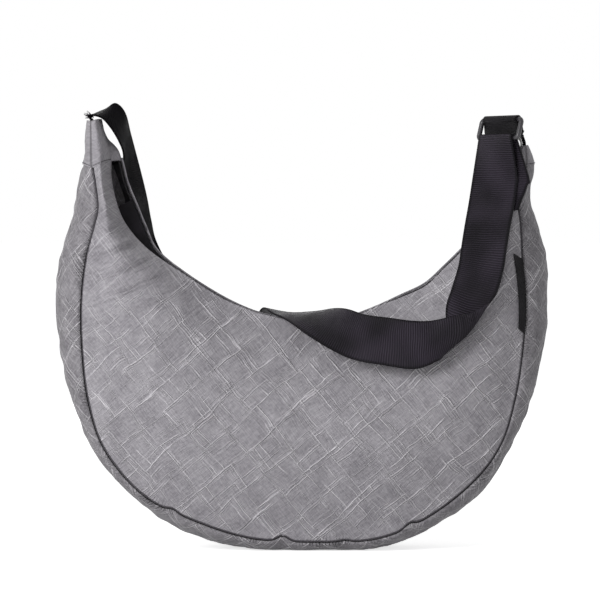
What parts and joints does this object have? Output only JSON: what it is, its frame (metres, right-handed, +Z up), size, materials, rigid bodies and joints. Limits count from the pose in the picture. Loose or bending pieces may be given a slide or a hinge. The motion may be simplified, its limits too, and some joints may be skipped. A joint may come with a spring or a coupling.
{
  "type": "half moon bag",
  "caption": "Soft crescent shoulder bag with two curved panels joined by a gusset, a zipped mouth between pointed horns, and a wide webbing strap on a ring.",
  "frame": {"origin": "on the surface the bag stands on, under the middle of its box", "axes": "+X across the bag towards the ring's horn, +Z up, the front face at -Y"},
  "size_m": [0.4547, 0.152, 0.4144],
  "materials": {
    "shell": "crushed matte nylon",
    "gusset_cloth": "crushed matte nylon, a little darker",
    "lining": "plain weave",
    "binding": "matte tape",
    "thread": "matte thread",
    "label": "matte woven, bare",
    "zipper_tape": "matte tape",
    "zipper_chain": "satin",
    "zipper_metal": "satin black",
    "ring": "satin black",
    "webbing": "ribbed webbing with a soft sheen"
  },
  "bodies": {
    "bag": {"front_panel": "shell", "back_panel": "shell", "gusset": "gusset_cloth", "front_lining": "lining", "back_lining": "lining", "gusset_lining": "lining", "front_seam_binding": "binding", "back_seam_binding": "binding", "left_horn_cuff": "shell", "right_horn_cuff": "shell", "left_cuff_thread": "thread", "right_cuff_thread": "thread", "inner_pocket": "lining", "pocket_hem": "binding", "side_label": "label", "front_zipper_tape": "zipper_tape", "back_zipper_tape": "zipper_tape", "front_zipper_chain": "zipper_chain", "back_zipper_chain": "zipper_chain", "left_zipper_stop": "zipper_metal", "right_zipper_stop": "zipper_metal", "ring_tab": "webbing", "strap": "webbing", "strap_fold_bartack": "thread"},
    "slider": {"zipper_slider": "zipper_metal"},
    "pull": {"zipper_pull": "zipper_metal"},
    "ring": {"strap_ring": "ring"}
  },
  "joints": [
    {"name": "zipper_travel", "type": "hinge", "parent": "bag", "child": "slider", "pos_m": [0.01282, 0, 0.41854], "axis": [0, 1, 0], "range_deg": [-1.2, 107]},
    {"name": "pull_flip", "type": "hinge", "parent": "slider", "child": "pull", "pos_m": [0.17408, 0, 0.28324], "axis": [0, 1, 0], "range_deg": [0, 160]},
    {"name": "ring_swing", "type": "hinge", "parent": "bag", "child": "ring", "pos_m": [0.18503, -0.0288, 0.39713], "axis": [0.6157, -0.788, 0], "range_deg": [-120, 4], "deforming": ["strap"]}
  ]
}
